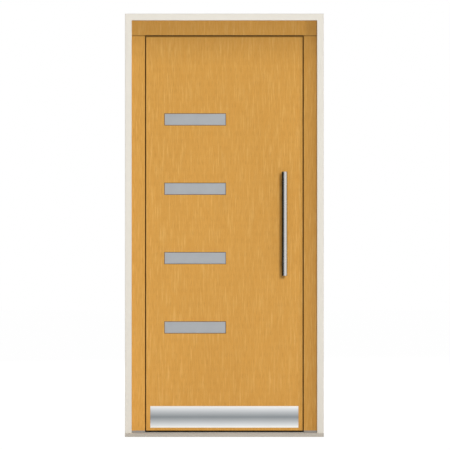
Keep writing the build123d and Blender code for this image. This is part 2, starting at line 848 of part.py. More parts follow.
with BuildPart() as inner_facing:
    block((-leaf_half_3, leaf_half_3), (core_back, leaf_thickness), (lip_bottom, leaf_top_3))
    chamfer(inner_facing.faces().sort_by(Axis.Y)[-1].edges(), arris)
    cut_light_holes(hole_width, hole_height, (core_back, leaf_thickness))
    cut_pull_bolt_holes()
    cut_lever_and_cylinder()
    for z in hinge_screw_heights:
        screw_y(leaf_hinge_screw_x, z, hinge_plate_face, screw_gap, Mode.SUBTRACT)
save(inner_facing, "inner_facing")


# Glazed lights: two panes with a spacer between them, held by a bead from the inside


def pane(z, y):
    with BuildSketch(across(y[1])) as outline:
        with Locations((light_centre_x, z)):
            Rectangle(pane_width, pane_height)
    extrude(outline.sketch, amount=y[1] - y[0])


for i, z in enumerate(light_heights):
    number = str(i + 1)
    with BuildPart() as outer_pane:
        pane(z, (glass_recess, glass_recess + pane_thickness))
    save(outer_pane, "outer_pane_" + number)
    with BuildPart() as glazing_bead:
        with BuildSketch(across(leaf_thickness)):
            with Locations((light_centre_x, z)):
                Rectangle(hole_width - 2 * seat_gap, hole_height - 2 * seat_gap)
                Rectangle(light_width, light_height, mode=Mode.SUBTRACT)
        extrude(amount=leaf_thickness - unit_back)
        inside_face = glazing_bead.faces().sort_by(Axis.Y)[-1]
        chamfer(inside_face.inner_wires()[0].edges(), bead_splay)
    save(glazing_bead, "glazing_bead_" + number)

with BuildPart() as inner_panes:
    for z in light_heights:
        pane(z, (unit_back - pane_thickness, unit_back))
save(inner_panes, "inner_panes")

with BuildPart() as glazing_spacers:
    spacer_y = (glass_recess + pane_thickness, unit_back - pane_thickness)
    with BuildSketch(across(spacer_y[1])):
        with Locations([(light_centre_x, z) for z in light_heights]):
            Rectangle(pane_width, pane_height)
            Rectangle(pane_width - 2 * spacer_width, pane_height - 2 * spacer_width, mode=Mode.SUBTRACT)
    extrude(amount=spacer_y[1] - spacer_y[0])
save(glazing_spacers, "glazing_spacers")


# Seals on the leaf

with BuildPart() as leaf_seal:
    ring(
        leaf_half_2 + lip_seal_offset,
        leaf_top_2 + lip_seal_offset,
        seal_width,
        (rebate_y_2 + seat_gap, leaf_lip_y),
    )
    fillet(leaf_seal.edges().group_by(Axis.Y)[0], seal_round)
    ring(leaf_barb_half, leaf_barb_top, barb_width, (leaf_lip_y, leaf_lip_y + barb_depth))
save(leaf_seal, "leaf_seal")

with BuildPart() as bottom_seal:
    seal_half = leaf_half_2 + lip_seal_offset - seat_gap
    seal_top = leaf_bottom - seat_gap
    seal_z = (seal_top - bottom_seal_height, seal_top)
    block((-seal_half, seal_half), (rebate_y_2 + seat_gap, leaf_lip_y), seal_z)
    fillet(bottom_seal.edges().filter_by(Axis.X).group_by(Axis.Y)[0], seal_round)
save(bottom_seal, "bottom_seal")


# Kick plate and pull bar on the outside

with BuildPart() as kick_plate:
    block((-kick_half, kick_half), (-kick_thickness, 0), (kick_bottom, kick_bottom + kick_height))
    chamfer(kick_plate.faces().sort_by(Axis.Y)[0].edges(), kick_edge)
save(kick_plate, "kick_plate")

with BuildPart() as pull_bar:
    bar_along_z(bar_x, bar_y, bar_radius, (bar_centre_z - bar_length / 2, bar_centre_z + bar_length / 2))
    chamfer(pull_bar.edges().filter_by(GeomType.CIRCLE), bar_end_round)
    for z in post_heights:
        socket_y = (-bar_stand_off - post_socket - screw_gap, -bar_stand_off + post_socket)
        bar_along_y(bar_x, z, post_radius + screw_gap, socket_y, Mode.SUBTRACT)
save(pull_bar, "pull_bar")

with BuildPart() as pull_posts:
    for z in post_heights:
        bar_along_y(bar_x, z, post_radius, (-bar_stand_off - post_socket, 0))
        bar_along_y(bar_x, z, post_flange_radius, (-post_flange, 0))
        bolt_bore = (-pull_bolt_reach - seat_gap, 0)
        bar_along_y(bar_x, z, pull_bolt_radius + screw_gap, bolt_bore, Mode.SUBTRACT)
save(pull_posts, "pull_posts")

with BuildPart() as pull_bolts:
    for z in post_heights:
        bar_along_y(bar_x, z, pull_cap_radius, (leaf_thickness, leaf_thickness + pull_cap))
    fillet(pull_bolts.edges().group_by(Axis.Y)[-1], pull_cap_round)
    for z in post_heights:
        bar_along_y(bar_x, z, pull_bolt_radius, (-pull_bolt_reach, leaf_thickness))
save(pull_bolts, "pull_bolts")


# Lock


def hook_pocket_limits(z):
    return (z - hook_outer_radius - pocket_gap, z + hook_outer_radius + pocket_gap)


with BuildPart() as lock_faceplate:
    block(
        (lock_face_x, leaf_half_2),
        (lock_y - faceplate_width / 2, lock_y + faceplate_width / 2),
        (faceplate_bottom, faceplate_top),
    )
    block(
        (lock_face_x, leaf_half_2),
        (lock_y - latch_thickness / 2 - seat_gap, lock_y + latch_thickness / 2 + seat_gap),
        (lever_z - latch_height / 2 - seat_gap, lever_z + latch_height / 2 + seat_gap),
        Mode.SUBTRACT,
    )
    block(
        (lock_face_x, leaf_half_2),
        (lock_y - bolt_thickness / 2 - seat_gap, lock_y + bolt_thickness / 2 + seat_gap),
        (bolt_z - bolt_height / 2 - seat_gap, bolt_z + bolt_height / 2 + seat_gap),
        Mode.SUBTRACT,
    )
    for z in hook_heights:
        block(
            (lock_face_x, leaf_half_2),
            (lock_y - hook_thickness / 2 - pocket_gap, lock_y + hook_thickness / 2 + pocket_gap),
            (z + hook_slot[0], hook_pocket_limits(z)[1]),
            Mode.SUBTRACT,
        )
    for z in faceplate_screw_heights:
        screw_x(lock_y, z, leaf_half_2, -1, screw_gap, Mode.SUBTRACT)
save(lock_faceplate, "lock_faceplate")

rod_slot_y = (rod_y[0] - seat_gap, rod_y[1] + seat_gap)

with BuildPart() as lock_case:
    case_z = (lock_case_bottom, lock_case_top)
    block((lock_case_x - lock_case_depth, lock_case_x), lock_case_y, case_z)
    # latch and deadbolt run in pockets that open at the front
    block(
        (leaf_half_2 - latch_tail - latch_throw - case_back_gap, lock_case_x),
        (lock_y - latch_thickness / 2 - seat_gap, lock_y + latch_thickness / 2 + seat_gap),
        (lever_z - latch_height / 2 - seat_gap, lever_z + latch_height / 2 + seat_gap),
        Mode.SUBTRACT,
    )
    block(
        (leaf_half_2 - bolt_tail - case_back_gap, lock_case_x),
        (lock_y - bolt_thickness / 2 - seat_gap, lock_y + bolt_thickness / 2 + seat_gap),
        (bolt_z - bolt_height / 2 - seat_gap, bolt_z + bolt_height / 2 + seat_gap),
        Mode.SUBTRACT,
    )
    # round openings for the lever's spindle and the cylinder with its cam
    bar_along_y(lever_x, lever_z, spindle_side, lock_case_y, Mode.SUBTRACT)
    cylinder_hole = cylinder_profile(seat_gap, across(lock_case_y[1]))
    extrude(cylinder_hole, amount=lock_case_thickness, mode=Mode.SUBTRACT)
    bar_along_y(lever_x, thumb_z, turn_cam_lobe + 2 * pocket_gap, rod_slot_y, Mode.SUBTRACT)
    # slots for the inner ends of the drive rods
    block(
        (rod_x - seat_gap, lock_case_x),
        rod_slot_y,
        (upper_rod[0] - rod_end_gap, lock_case_top),
        Mode.SUBTRACT,
    )
    block(
        (rod_x - seat_gap, lock_case_x),
        rod_slot_y,
        (lock_case_bottom, lower_rod[1] + rod_travel + rod_end_gap),
        Mode.SUBTRACT,
    )
    for z in faceplate_screw_heights[1:3]:
        screw_x(lock_y, z, leaf_half_2, -1, screw_gap, Mode.SUBTRACT)
save(lock_case, "lock_case")

with BuildPart() as hook_cases:
    for z in hook_heights:
        block(
            (lock_case_x - hook_case_depth, lock_case_x),
            lock_case_y,
            (z - hook_case_half, z + hook_case_half),
        )
        hook_y = (lock_y - hook_thickness / 2 - seat_gap, lock_y + hook_thickness / 2 + seat_gap)
        bar_along_y(hook_x, z, hook_outer_radius + pocket_gap, hook_y, Mode.SUBTRACT)
        pin_half = hook_thickness / 2 + hook_pin_radius
        pin_y = (lock_y - pin_half, lock_y + pin_half)
        bar_along_y(hook_x, z, hook_pin_radius + running_gap, pin_y, Mode.SUBTRACT)
    block(
        (rod_x - seat_gap, lock_case_x),
        rod_slot_y,
        (hook_heights[1] - hook_case_half, upper_rod[1] + rod_travel + rod_end_gap),
        Mode.SUBTRACT,
    )
    block(
        (rod_x - seat_gap, lock_case_x),
        rod_slot_y,
        (lower_rod[0] - rod_end_gap, hook_heights[0] + hook_case_half),
        Mode.SUBTRACT,
    )
save(hook_cases, "hook_cases")

with BuildPart() as drive_rods:
    for limits in (upper_rod, lower_rod):
        block((rod_x, rod_x + rod_thickness), rod_y, limits)
save(drive_rods, "drive_rods")

for z, name in zip(hook_heights, hook_names):
    with BuildPart() as hook:
        hook_plane = across(lock_y + hook_thickness / 2)
        claw_angles = (hook_from, hook_to)
        spoke_angles = (hook_to - hook_spoke, hook_to)
        extrude(
            sector((hook_x, z), (hook_inner_radius, hook_outer_radius), claw_angles, hook_plane),
            amount=hook_thickness,
        )
        spoke_radii = (0, (hook_inner_radius + hook_outer_radius) / 2)
        extrude(sector((hook_x, z), spoke_radii, spoke_angles, hook_plane), amount=hook_thickness)
        bar_along_y(hook_x, z, hook_hub_radius, (lock_y - hook_thickness / 2, lock_y + hook_thickness / 2))
        stub = hook_thickness / 2 + hook_pin_radius - seat_gap
        bar_along_y(hook_x, z, hook_pin_radius, (lock_y - stub, lock_y + stub))
    save(hook, name + "_hook")

with BuildPart() as latch_bolt:
    # the bevel faces the street, so that the closing leaf pushes the latch in
    with BuildSketch(Plane.XY.offset(lever_z - latch_height / 2)):
        with BuildLine():
            back_y = lock_y + latch_thickness / 2
            front_y = lock_y - latch_thickness / 2
            Polyline(
                (leaf_half_2 - latch_tail, front_y),
                (leaf_half_2 - latch_tail, back_y),
                (leaf_half_2 + latch_throw, back_y),
                (leaf_half_2 + latch_throw, back_y - latch_thickness + latch_bevel),
                (leaf_half_2 + latch_throw - latch_bevel, front_y),
                close=True,
            )
        make_face()
    extrude(amount=latch_height)
save(latch_bolt, "latch_bolt")

with BuildPart() as dead_bolt:
    block(
        (leaf_half_2 - bolt_tail, leaf_half_2 - bolt_shy),
        (lock_y - bolt_thickness / 2, lock_y + bolt_thickness / 2),
        (bolt_z - bolt_height / 2, bolt_z + bolt_height / 2),
    )
    chamfer(dead_bolt.faces().sort_by(Axis.X)[-1].edges(), arris)
save(dead_bolt, "dead_bolt")


# Lever, backplate and thumb turn on the inside

backplate_face = leaf_thickness + backplate_thickness
lever_back = leaf_thickness + lever_reach

with BuildPart() as inner_backplate:
    with BuildSketch(across(backplate_face)):
        with Locations((lever_x, backplate_z)):
            RectangleRounded(backplate_width, backplate_height, 2 * backplate_round)
    extrude(amount=backplate_thickness)
    fillet(inner_backplate.faces().sort_by(Axis.Y)[-1].edges(), backplate_round)
    through = (leaf_thickness, backplate_face)
    bar_along_y(lever_x, lever_z, lever_neck_radius + running_gap, through, Mode.SUBTRACT)
    profile = cylinder_profile(seat_gap, across(backplate_face))
    extrude(profile, amount=backplate_thickness, mode=Mode.SUBTRACT)
save(inner_backplate, "inner_backplate")

with BuildPart() as lever_handle:
    with BuildSketch(across(lever_back)):
        with Locations((lever_x - lever_length / 2 + lever_grip_height / 2, lever_z)):
            SlotOverall(lever_length, lever_grip_height)
    extrude(amount=lever_grip_thickness)
    fillet(lever_handle.edges(), lever_round)
    bar_along_y(lever_x, lever_z, lever_neck_radius, (leaf_thickness + seat_gap, lever_back - lever_round))
    with BuildSketch(across(leaf_thickness + spindle_in_lever + seat_gap)) as socket:
        with Locations((lever_x, lever_z)):
            Rectangle(spindle_side + 2 * screw_gap, spindle_side + 2 * screw_gap)
    extrude(socket.sketch, amount=spindle_in_lever, mode=Mode.SUBTRACT)
save(lever_handle, "lever_handle")

with BuildPart() as lever_spindle:
    with BuildSketch(across(leaf_thickness + spindle_in_lever)):
        with Locations((lever_x, lever_z)):
            Rectangle(spindle_side, spindle_side)
    extrude(amount=leaf_thickness + spindle_in_lever - lock_y + spindle_past_lock)
save(lever_spindle, "lever_spindle")

cylinder_back = backplate_face + cylinder_proud
cylinder_front = rod_slot_y[1] + seat_gap

with BuildPart() as lock_cylinder:
    extrude(cylinder_profile(0, across(cylinder_back)), amount=cylinder_back - cylinder_front)
    shaft_hole = (cylinder_front, cylinder_back)
    bar_along_y(lever_x, thumb_z, turn_shaft_radius + running_gap, shaft_hole, Mode.SUBTRACT)
save(lock_cylinder, "lock_cylinder")

with BuildPart() as thumb_turn:
    disc_y = (cylinder_back + seat_gap, cylinder_back + seat_gap + turn_disc)
    with BuildSketch(across(disc_y[1] + turn_grip)):
        with Locations((lever_x, thumb_z)):
            SlotOverall(turn_grip_height, turn_grip_width, rotation=90)
    extrude(amount=turn_grip + turn_disc / 2)
    fillet(thumb_turn.edges().group_by(Axis.Y)[-1], turn_edge_round)
    bar_along_y(lever_x, thumb_z, turn_disc_radius, disc_y)
    bar_along_y(lever_x, thumb_z, turn_shaft_radius, (rod_y[0], disc_y[0]))
    bar_along_y(lever_x, thumb_z, turn_cam_radius, rod_y)
    block(
        (lever_x - turn_cam_width / 2, lever_x + turn_cam_width / 2),
        rod_y,
        (thumb_z - turn_cam_lobe, thumb_z),
    )
save(thumb_turn, "thumb_turn")

with BuildPart() as leaf_screws:
    for z in hinge_screw_heights:
        screw_y(leaf_hinge_screw_x, z, hinge_plate_face)
    for z in faceplate_screw_heights:
        screw_x(lock_y, z, leaf_half_2, -1)
save(leaf_screws, "leaf_screws")
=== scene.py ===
import json
import math

import bmesh
import bpy
from mathutils import Matrix, Vector


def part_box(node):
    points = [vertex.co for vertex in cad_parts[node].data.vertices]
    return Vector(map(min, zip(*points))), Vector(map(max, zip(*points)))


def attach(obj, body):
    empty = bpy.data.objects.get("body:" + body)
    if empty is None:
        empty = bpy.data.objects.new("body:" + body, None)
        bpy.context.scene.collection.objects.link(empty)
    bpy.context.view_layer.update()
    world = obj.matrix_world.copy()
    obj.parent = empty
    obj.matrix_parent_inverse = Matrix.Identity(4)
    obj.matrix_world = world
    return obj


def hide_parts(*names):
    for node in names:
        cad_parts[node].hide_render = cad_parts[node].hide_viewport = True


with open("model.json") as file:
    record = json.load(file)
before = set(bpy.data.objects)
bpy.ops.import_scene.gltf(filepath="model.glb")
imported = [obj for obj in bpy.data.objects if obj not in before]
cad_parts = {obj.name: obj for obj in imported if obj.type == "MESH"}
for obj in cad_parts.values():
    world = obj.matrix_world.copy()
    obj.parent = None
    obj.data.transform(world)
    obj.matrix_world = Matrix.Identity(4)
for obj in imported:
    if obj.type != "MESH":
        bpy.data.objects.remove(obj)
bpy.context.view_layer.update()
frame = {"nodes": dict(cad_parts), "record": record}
print("frame loaded,", len(frame["nodes"]), "nodes")


# Small helpers for colours and shader nodes

def paint(red, green, blue):
    # a colour as seen on screen, 0 to 255, turned into what a shader wants
    parts = [c / 255 for c in (red, green, blue)]
    linear = [p / 12.92 if p < 0.04 else ((p + 0.055) / 1.055) ** 2.4 for p in parts]
    return tuple(linear) + (1.0,)


def newMaterial(name):
    material = bpy.data.materials.new(name)
    material.use_nodes = True
    tree = material.node_tree
    return material, tree, tree.nodes["Principled BSDF"]


def addNode(tree, kind, values=None, joins=None, **settings):
    made = tree.nodes.new("ShaderNode" + kind)
    for key, value in settings.items():
        setattr(made, key, value)
    for key, value in (values or {}).items():
        made.inputs[key].default_value = value
    for key, source in (joins or {}).items():
        tree.links.new(source, made.inputs[key])
    return made


def ownPlace(tree):
    return addNode(tree, "TexCoord").outputs["Object"]


def stretchedNoise(tree, place, scale, shift=(0, 0, 0), detail=3.0, rough=0.55, warp=0.0):
    # noise on the piece's own coordinates, drawn out along one of them by its scale
    spread = addNode(tree, "Mapping", {"Scale": scale, "Location": shift}, {"Vector": place})
    values = {"Scale": 1.0, "Detail": detail, "Roughness": rough, "Distortion": warp}
    noise = addNode(tree, "TexNoise", values, {"Vector": spread.outputs["Vector"]})
    return noise.outputs["Fac"]


def calc(tree, operation, values, joins):
    return addNode(tree, "Math", values, joins, operation=operation).outputs[0]


def colourRamp(tree, factor, stops):
    made = addNode(tree, "ValToRGB", None, {"Fac": factor})
    while len(made.color_ramp.elements) < len(stops):
        made.color_ramp.elements.new(0.5)
    for element, (at, colour) in zip(made.color_ramp.elements, stops):
        element.position = at
        element.color = colour
    return made.outputs["Color"]


def greyRamp(tree, factor, stops):
    return colourRamp(tree, factor, [(at, (g, g, g, 1.0)) for at, g in stops])


def mixColour(tree, kind, share, first, second):
    made = addNode(tree, "Mix", None, None, data_type="RGBA", blend_type=kind)
    for socket, source in ((0, share), (6, first), (7, second)):
        if isinstance(source, (int, float, tuple)):
            made.inputs[socket].default_value = source
        else:
            tree.links.new(source, made.inputs[socket])
    return made.outputs[2]


def tinted(tree, colour, by):
    return mixColour(tree, "MULTIPLY", 1.0, colour, by)


noiseSpan = (0.3, 0.7)     # nearly all of a noise lies between these


def mottled(tree, colour, noise, darker, lighter, span=noiseSpan):
    return tinted(tree, colour, greyRamp(tree, noise, [(span[0], darker), (span[1], lighter)]))


def rangeOf(tree, value, low, high, toLow=0.0, toHigh=1.0):
    values = {"From Min": low, "From Max": high, "To Min": toLow, "To Max": toHigh}
    return addNode(tree, "MapRange", values, {"Value": value}).outputs["Result"]


def bumpFrom(tree, shader, height, strength, distance):
    made = addNode(tree, "Bump", {"Strength": strength, "Distance": distance}, {"Height": height})
    tree.links.new(made.outputs["Normal"], shader.inputs["Normal"])


def setShader(shader, **values):
    for key, value in values.items():
        shader.inputs[key.replace("_", " ")].default_value = value


def along(tree, place, axis, stops):
    # how far along one axis a spot lies, from the first stop to the last, and the stops as shares
    low, high = stops[0][0], stops[-1][0]
    axes = addNode(tree, "SeparateXYZ", None, {"Vector": place})
    shares = [((at - low) / (high - low), tone) for at, tone in stops]
    return rangeOf(tree, axes.outputs[axis], low, high), shares


def shaded(tree, place, colour, fades):
    # fades: (axis, [(place in metres, brightness)...]), painted light and shade laid over a piece's
    # colour
    for axis, stops in fades:
        colour = tinted(tree, colour, greyRamp(tree, *along(tree, place, axis, stops)))
    return colour


# Oak veneer and timber. The grain stands upright on every piece

oakLook = {
    "pale": (212, 158, 77),
    "body": (210, 155, 74),
    "deep": (207, 151, 70),
    "streak": (230, 184, 108),
    "pore": (160, 108, 44),
    "strand": (125.0, 125.0, 12.0),       # soft strands, a few millimetres wide
    "flash": (210.0, 210.0, 9.0),         # short pale streaks between them
    "flashShift": 4.7,
    "fibre": (620.0, 620.0, 9.0),         # hair-fine fibres
    "figure": (9.0, 9.0, 1.1),            # broad change of tone over the board
    "poreScale": (1300.0, 1300.0, 26.0),
    "strandAt": (0.32, 0.5, 0.68),
    "flashStops": [(0.54, 0.0), (0.72, 0.5)],
    "poreStops": [(0.37, 1.0), (0.45, 0.0)],
    "figureTones": (0.98, 1.02),
    "fibreTones": (0.95, 1.045),
    "poreShare": 0.38,
    "fibreHeight": 0.6,
    "roughLow": 0.42,
    "roughHigh": 0.56,
    "bump": 0.25,
    "bumpDepth": 0.0003,
}


def oakWood(name, shift, fades=(), tone=1.0):
    look = oakLook
    material, tree, shader = newMaterial(name)
    place = ownPlace(tree)
    moved = [s + look["flashShift"] for s in shift]
    strands = stretchedNoise(tree, place, look["strand"], shift, detail=4.0, rough=0.6)
    figure = stretchedNoise(tree, place, look["figure"], shift, detail=2.0, rough=0.5, warp=0.4)
    flash = stretchedNoise(tree, place, look["flash"], moved, detail=2.0, rough=0.45)
    fine = stretchedNoise(tree, place, look["poreScale"], shift, detail=2.0, rough=0.5)
    fibre = stretchedNoise(tree, place, look["fibre"], shift, detail=3.0, rough=0.6)
    woods = [paint(*look[key]) for key in ("deep", "body", "pale")]
    colour = colourRamp(tree, strands, list(zip(look["strandAt"], woods)))
    pale = greyRamp(tree, flash, look["flashStops"])
    colour = mixColour(tree, "MIX", pale, colour, paint(*look["streak"]))
    colour = mottled(tree, colour, figure, *[g * tone for g in look["figureTones"]])
    colour = mottled(tree, colour, fibre, *look["fibreTones"])
    pores = greyRamp(tree, fine, look["poreStops"])
    poreShare = calc(tree, "MULTIPLY", {1: look["poreShare"]}, {0: pores})
    colour = mixColour(tree, "MIX", poreShare, colour, paint(*look["pore"]))
    tree.links.new(shaded(tree, place, colour, fades), shader.inputs["Base Color"])
    rough = rangeOf(tree, strands, *noiseSpan, look["roughHigh"], look["roughLow"])
    tree.links.new(rough, shader.inputs["Roughness"])
    grain = calc(tree, "MULTIPLY_ADD", {1: look["fibreHeight"]}, {0: fibre, 2: strands})
    height = calc(tree, "SUBTRACT", None, {0: grain, 1: pores})
    bumpFrom(tree, shader, height, look["bump"], look["bumpDepth"])
    setShader(shader, Coat_Weight=0.05, Coat_Roughness=0.35, Specular_IOR_Level=0.22)
    return material


# Painted, cast and rubber surfaces share one build: a colour, a little mottle and a fine skin

plainLook = {"cloud": 14.0, "gritSpan": (0.35, 0.65), "roughSpread": 0.06, "skinDepth": 0.0002}


def plainFinish(name, colour, mottle=0.03, roughness=0.5, speck=400.0, skin=0.15, fades=(), **more):
    look = plainLook
    material, tree, shader = newMaterial(name)
    place = ownPlace(tree)
    cloud = stretchedNoise(tree, place, (look["cloud"],) * 3, detail=3.0)
    grit = stretchedNoise(tree, place, (speck,) * 3, detail=2.0)
    darker, lighter = 1.0 - mottle, 1.0 + mottle
    shown = mottled(tree, paint(*colour), cloud, darker, lighter)
    shown = mottled(tree, shown, grit, darker, lighter, look["gritSpan"])
    tree.links.new(shaded(tree, place, shown, fades), shader.inputs["Base Color"])
    smoother, rougher = roughness - look["roughSpread"], roughness + look["roughSpread"]
    tree.links.new(rangeOf(tree, cloud, *noiseSpan, smoother, rougher), shader.inputs["Roughness"])
    bumpFrom(tree, shader, grit, skin, look["skinDepth"])
    setShader(shader, **more)
    return material


# Metals with the marks of brushing along one axis

metalLook = {
    "cloud": 7.0,
    "lighter": 0.6,            # how light the pale marks get, as a share of the dark ones
    "blurSpan": (0.1, 0.4),
    "smoother": 0.06,
    "rougher": 0.08,
    "bump": 0.12,
    "bumpDepth": 0.0001,
}


def brushedMetal(name, colour, brush, roughness=0.3, mark=0.05, bands=None, rim=1.0):
    # brush: noise scale along each axis, small along the brushing
    # bands: (axis, [(place in metres, colour)...]), painted reflection and shade laid over the
    # metal in bands
    look = metalLook
    material, tree, shader = newMaterial(name)
    place = ownPlace(tree)
    hair = stretchedNoise(tree, place, brush, detail=2.0)
    cloud = stretchedNoise(tree, place, (look["cloud"],) * 3, detail=2.0)
    if bands:
        axis, stops = bands
        factor, shares = along(tree, place, axis, stops)
        base = colourRamp(tree, factor, [(at, paint(*tone)) for at, tone in shares])
    else:
        base = paint(*colour)
    shown = mottled(tree, base, hair, 1.0 - mark, 1.0 + mark * look["lighter"])
    tree.links.new(shown, shader.inputs["Base Color"])
    blurred = calc(tree, "MULTIPLY", None, {0: hair, 1: cloud})
    smoother, rougher = roughness - look["smoother"], roughness + look["rougher"]
    rough = rangeOf(tree, blurred, *look["blurSpan"], smoother, rougher)
    tree.links.new(rough, shader.inputs["Roughness"])
    bumpFrom(tree, shader, hair, look["bump"], look["bumpDepth"])
    setShader(shader, Metallic=1.0, Specular_Tint=(rim, rim, rim, 1.0))
    return material


# Etched glass: grey, soft and even, with a faint cloud in the etch, and painted light laid over it
# as fades

glassLook = {
    "cloud": 18.0,
    "cloudTones": (0.97, 1.03),
    "etch": 2500.0,
    "smoothest": 0.32,
    "roughest": 0.42,
    "bump": 0.2,
    "bumpDepth": 0.00005,
}


def satinGlass(name, colour, fades=()):
    look = glassLook
    material, tree, shader = newMaterial(name)
    place = ownPlace(tree)
    cloud = stretchedNoise(tree, place, (look["cloud"],) * 3, detail=3.0)
    grit = stretchedNoise(tree, place, (look["etch"],) * 3, detail=1.0)
    shown = mottled(tree, paint(*colour), cloud, *look["cloudTones"])
    tree.links.new(shaded(tree, place, shown, fades), shader.inputs["Base Color"])
    rough = rangeOf(tree, cloud, *noiseSpan, look["smoothest"], look["roughest"])
    tree.links.new(rough, shader.inputs["Roughness"])
    bumpFrom(tree, shader, grit, look["bump"], look["bumpDepth"])
    setShader(shader, Transmission_Weight=0.15, IOR=1.5)
    return material


# Painted light and shade over the pieces, as brightness along an axis: (axis, [(place in metres,
# brightness)...])

alongX, alongY, alongZ = 0, 1, 2
leafLow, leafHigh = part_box("outer_facing")
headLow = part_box("frame_head")[0]
lockLow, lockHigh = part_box("lock_jamb")
hingeLow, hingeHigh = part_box("hinge_jamb")
sillLow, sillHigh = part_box("door_sill")
trimLeft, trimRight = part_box("left_cover_trim")[0].x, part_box("right_cover_trim")[1].x

# painted light and shade on the leaf's face: lighter low down and to the left, darker under the
# head and towards the lock edge, with a line of painted shade along its top edge in the gap
leafShade = [
    (alongZ, [(leafLow.z, 1.09), (0.6, 1.05), (1.5, 1.01), (leafHigh.z - 0.16, 0.985),
              (leafHigh.z - 0.1, 0.93), (leafHigh.z - 0.05, 0.86),
              (leafHigh.z - 0.0011, 0.8), (leafHigh.z - 0.0008, 0.4), (leafHigh.z, 0.4)]),
    (alongX, [(leafLow.x, 1.05), (0.0, 1.0), (leafHigh.x - 0.024, 0.985),
              (leafHigh.x - 0.0162, 0.94), (leafHigh.x - 0.0108, 0.915), (leafHigh.x, 0.86)]),
]
# painted light and shade on the lock jamb: darker towards its outer edge beside the trim and
# towards the top, lighter low down, with a line of painted shade where it meets the head
lockJambShade = [
    (alongX, [(lockLow.x, 0.88), (lockLow.x + 0.02, 0.86), (0.5, 0.735)]),
    (alongZ, [(lockLow.z, 1.1), (0.6, 1.05), (1.2, 1.0), (lockHigh.z - 0.16, 0.95),
              (lockHigh.z - 0.05, 0.84),
              (lockHigh.z - 0.0032, 0.77), (lockHigh.z - 0.0028, 0.4), (lockHigh.z, 0.4)]),
]
# painted light and shade on the hinge jamb: lighter low down, darker towards the top, with a line
# of painted shade where it meets the head
hingeJambShade = [
    (alongZ, [(hingeLow.z, 1.2), (0.6, 1.13), (1.2, 1.08), (hingeHigh.z - 0.16, 1.03),
              (hingeHigh.z - 0.05, 0.94),
              (hingeHigh.z - 0.0032, 0.85), (hingeHigh.z - 0.0028, 0.42), (hingeHigh.z, 0.42)]),
]
# painted shade on the head: darker under the trim and towards its right end, with a line of painted
# shade along its lower edge at the gap
headShade = [
    (alongZ, [(headLow.z, 0.36), (headLow.z + 0.0012, 0.36), (headLow.z + 0.0015, 0.79),
              (2.246, 0.74)]),
    (alongX, [(headLow.x, 1.02), (0.0, 1.0), (0.43, 0.985), (0.45, 0.8), (0.5, 0.77)]),
]
# painted shade: the leaf's rebated edge is darkened where it shows through the gap
edgeShade = [(alongY, [(0.0, 0.2), (0.0285, 0.2), (0.032, 0.75), (0.08, 0.75)])]
# painted shade on the cream trim, darker towards the right
creamShade = [(alongX, [(trimLeft, 1.0), (0.0, 0.985), (trimRight, 0.95)])]
# painted light on the glass, lighter on the lower lights
glassShade = [(alongZ, [(0.5, 1.07), (1.0, 1.035), (1.8, 1.0)])]
# painted light on the sill's top face, made lighter than its front
sillShade = [(alongZ, [(sillLow.z, 1.0), (sillHigh.z - 0.0008, 1.0), (sillHigh.z - 0.0003, 1.32),
                       (sillHigh.z, 1.32)])]


# Painted reflection and shade on the metal pieces, in bands: (axis, [(place in metres, colour)...])

def bandsOver(axis, low, high, tones):
    # tones: (share of the way from low to high, colour)
    return axis, [(low + at * (high - low), colour) for at, colour in tones]


kickLow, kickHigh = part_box("kick_plate")
# painted reflection on the kick plate: light at top and bottom, dark through the middle
kickReflectionTones = [
    (0.0, (249, 247, 240)), (0.06, (247, 245, 238)), (0.1, (230, 232, 232)),
    (0.29, (192, 195, 197)), (0.47, (150, 155, 158)), (0.52, (150, 155, 158)),
    (0.71, (192, 195, 197)), (0.89, (230, 232, 233)), (0.94, (244, 243, 240)),
    (1.0, (247, 245, 239)),
]
kickReflectionBands = bandsOver(alongZ, kickLow.z, kickHigh.z, kickReflectionTones)

barLow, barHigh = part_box("pull_bar")
# painted reflection on the pull bar: dark down its left side, light on its right
barReflectionTones = [
    (0.0, (102, 106, 108)), (0.24, (116, 123, 126)), (0.4, (172, 174, 175)),
    (0.52, (190, 187, 184)), (0.64, (216, 212, 208)), (0.76, (220, 215, 211)),
    (0.88, (180, 178, 168)), (1.0, (184, 181, 172)),
]
barReflectionBands = bandsOver(alongX, barLow.x, barHigh.x, barReflectionTones)

thresholdLow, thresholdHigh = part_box("threshold")
# painted shade: the threshold's top face under the leaf is dark, its front light
thresholdLook = {"front": (200, 198, 192), "top": (92, 88, 80), "flatTop": 0.024}
thresholdShadeBands = (alongZ, [
    (thresholdLow.z, thresholdLook["front"]),
    (thresholdLook["flatTop"] - 0.0008, thresholdLook["front"]),
    (thresholdLook["flatTop"] - 0.0004, thresholdLook["top"]),
    (thresholdHigh.z, thresholdLook["top"]),
])
